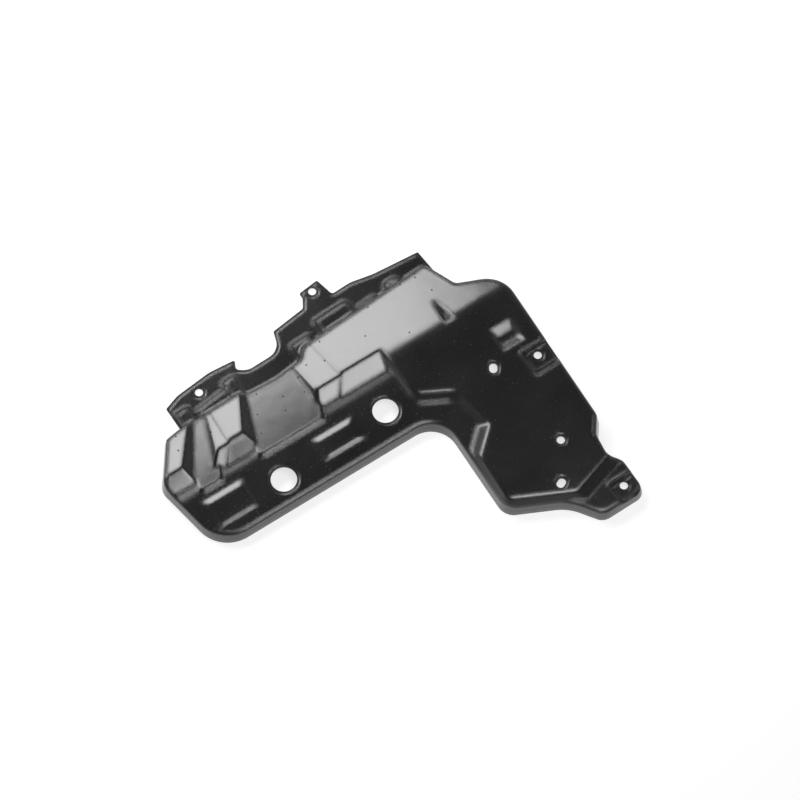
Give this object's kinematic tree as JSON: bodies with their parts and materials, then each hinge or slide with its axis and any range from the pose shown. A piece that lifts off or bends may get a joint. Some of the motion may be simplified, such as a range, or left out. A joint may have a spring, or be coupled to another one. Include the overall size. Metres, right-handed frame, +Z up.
{
  "type": "engine splash shield",
  "caption": "L-shaped black plastic engine splash shield with turned-down edges, slanted ridges, a notched back flange, drain holes and fixing holes.",
  "frame": {"origin": "centre of the base, on the table plane under the turned-down edge", "axes": "+X along the long side towards the fixing arm, +Y towards the back flange, +Z up out of the raised side"},
  "size_m": [0.4912, 0.4476, 0.026],
  "materials": {
    "shield": "semi-gloss black formed plastic with a fine grain"
  },
  "bodies": {
    "root": {"shield": "shield"}
  },
  "joints": []
}
